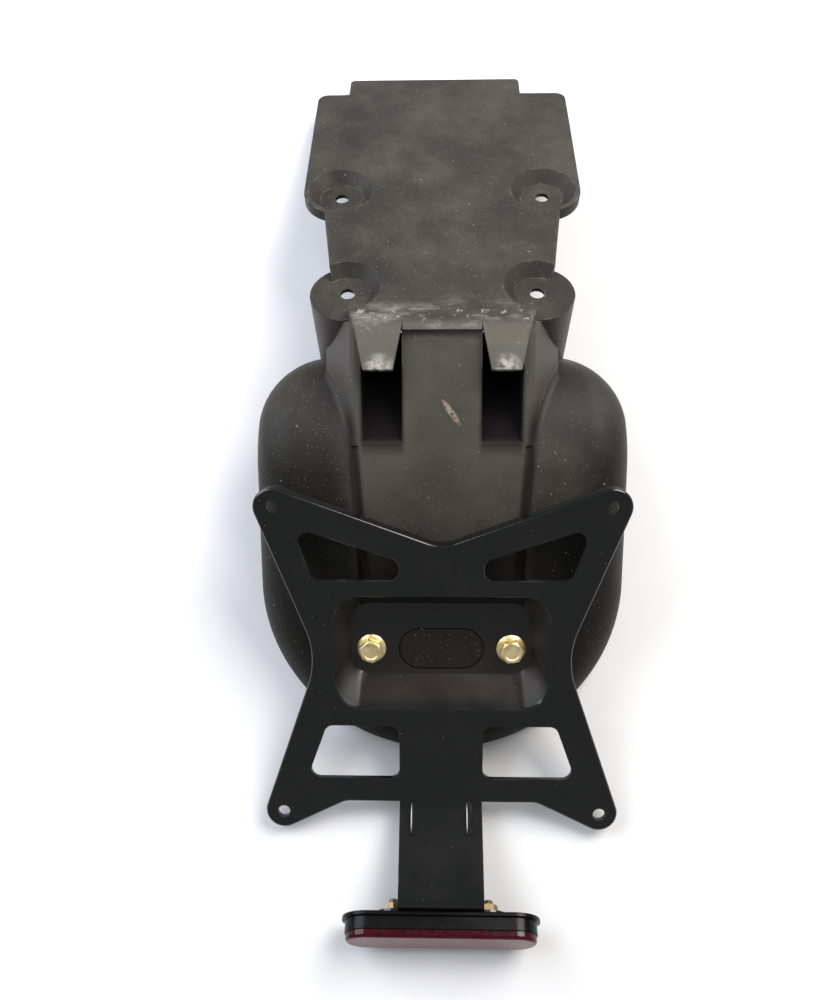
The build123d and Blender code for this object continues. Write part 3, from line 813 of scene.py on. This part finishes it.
housing = dressed("reflector_base", "reflector_housing", reflector_edge, reflector_corner)
housing.data.materials.append(housing_plastic())
lens = dressed("reflector_lens", "reflector_lens_red", reflector_edge, reflector_corner)
lens.data.materials.append(red_lens())

# Paper under the part: one large plain white sheet, a hair below the table's level,
# lit by a window on the right and by a cooler room on the left.
paper_reach, paper_level = 3.0, -0.0002
paper_shade, paper_white = (0.75, 0.755, 0.77), (0.81, 0.81, 0.81)
paper_corners = [(-1, -1), (1, -1), (1, 1), (-1, 1)]


def white_paper():
    """Matt paper with faint fibres."""
    material, tree, shader, place, _ = blank_material("white_paper")
    shader.inputs["Roughness"].default_value = 0.9
    fibre = noise(tree, place, scale=12.0, detail=6.0)
    tree.links.new(blend_colour(tree, fibre, paper_shade, paper_white), shader.inputs["Base Color"])
    return material


paper_mesh = bpy.data.meshes.new("paper")
paper_mesh.from_pydata(
    [(x * paper_reach, y * paper_reach, paper_level) for x, y in paper_corners], [], [(0, 1, 2, 3)]
)
paper_mesh.materials.append(white_paper())
paper = add_object("paper", paper_mesh)


def soft_box(name, place, aim, size, power, colour):
    """Square area light turned towards a point."""
    light = bpy.data.lights.new(name, "AREA")
    light.size = size
    light.energy = power
    light.color = colour
    lamp = add_object(name, light)
    lamp.location = place
    lamp.rotation_euler = (Vector(aim) - Vector(place)).to_track_quat("-Z", "Y").to_euler()


soft_box(
    "window", place=(0.7, 0.75, 0.95), aim=(0, 0.08, 0),
    size=0.8, power=27.0, colour=(1.0, 0.97, 0.92),
)
soft_box(
    "room", place=(-0.9, 0.6, 0.75), aim=(0, 0.05, 0),
    size=1.0, power=20.0, colour=(0.86, 0.9, 1.0),
)

world = bpy.data.worlds.new("Room")
bpy.context.scene.world = world
world.use_nodes = True
background = world.node_tree.nodes["Background"].inputs
background["Color"].default_value = (0.97, 0.98, 1.0, 1.0)
background["Strength"].default_value = 0.36
bpy.context.scene.view_settings.view_transform = "Standard"

# Camera: held above the bracket's dish, looking down and a little towards the tail tab,
# from where the photograph was taken.
pitch, yaw, roll = radians(10.31), radians(1.36), radians(0.11)
stand = Vector((-0.0029, -0.0907, 0.4056))
back = Vector((0, -sin(pitch), cos(pitch)))
up = Vector((0, cos(pitch), sin(pitch)))
right = Vector((1, 0, 0))
back, right = back * cos(yaw) + right * sin(yaw), right * cos(yaw) - back * sin(yaw)
right, up = right * cos(roll) + up * sin(roll), up * cos(roll) - right * sin(roll)
camera = add_object("camera", bpy.data.cameras.new("camera"))
camera.matrix_world = Matrix((
    (right.x, up.x, back.x, stand.x),
    (right.y, up.y, back.y, stand.y),
    (right.z, up.z, back.z, stand.z),
    (0, 0, 0, 1),
))
camera.data.lens = 27.32
camera.data.sensor_width = 36.0
camera.data.clip_start = 0.01
bpy.context.scene.camera = camera
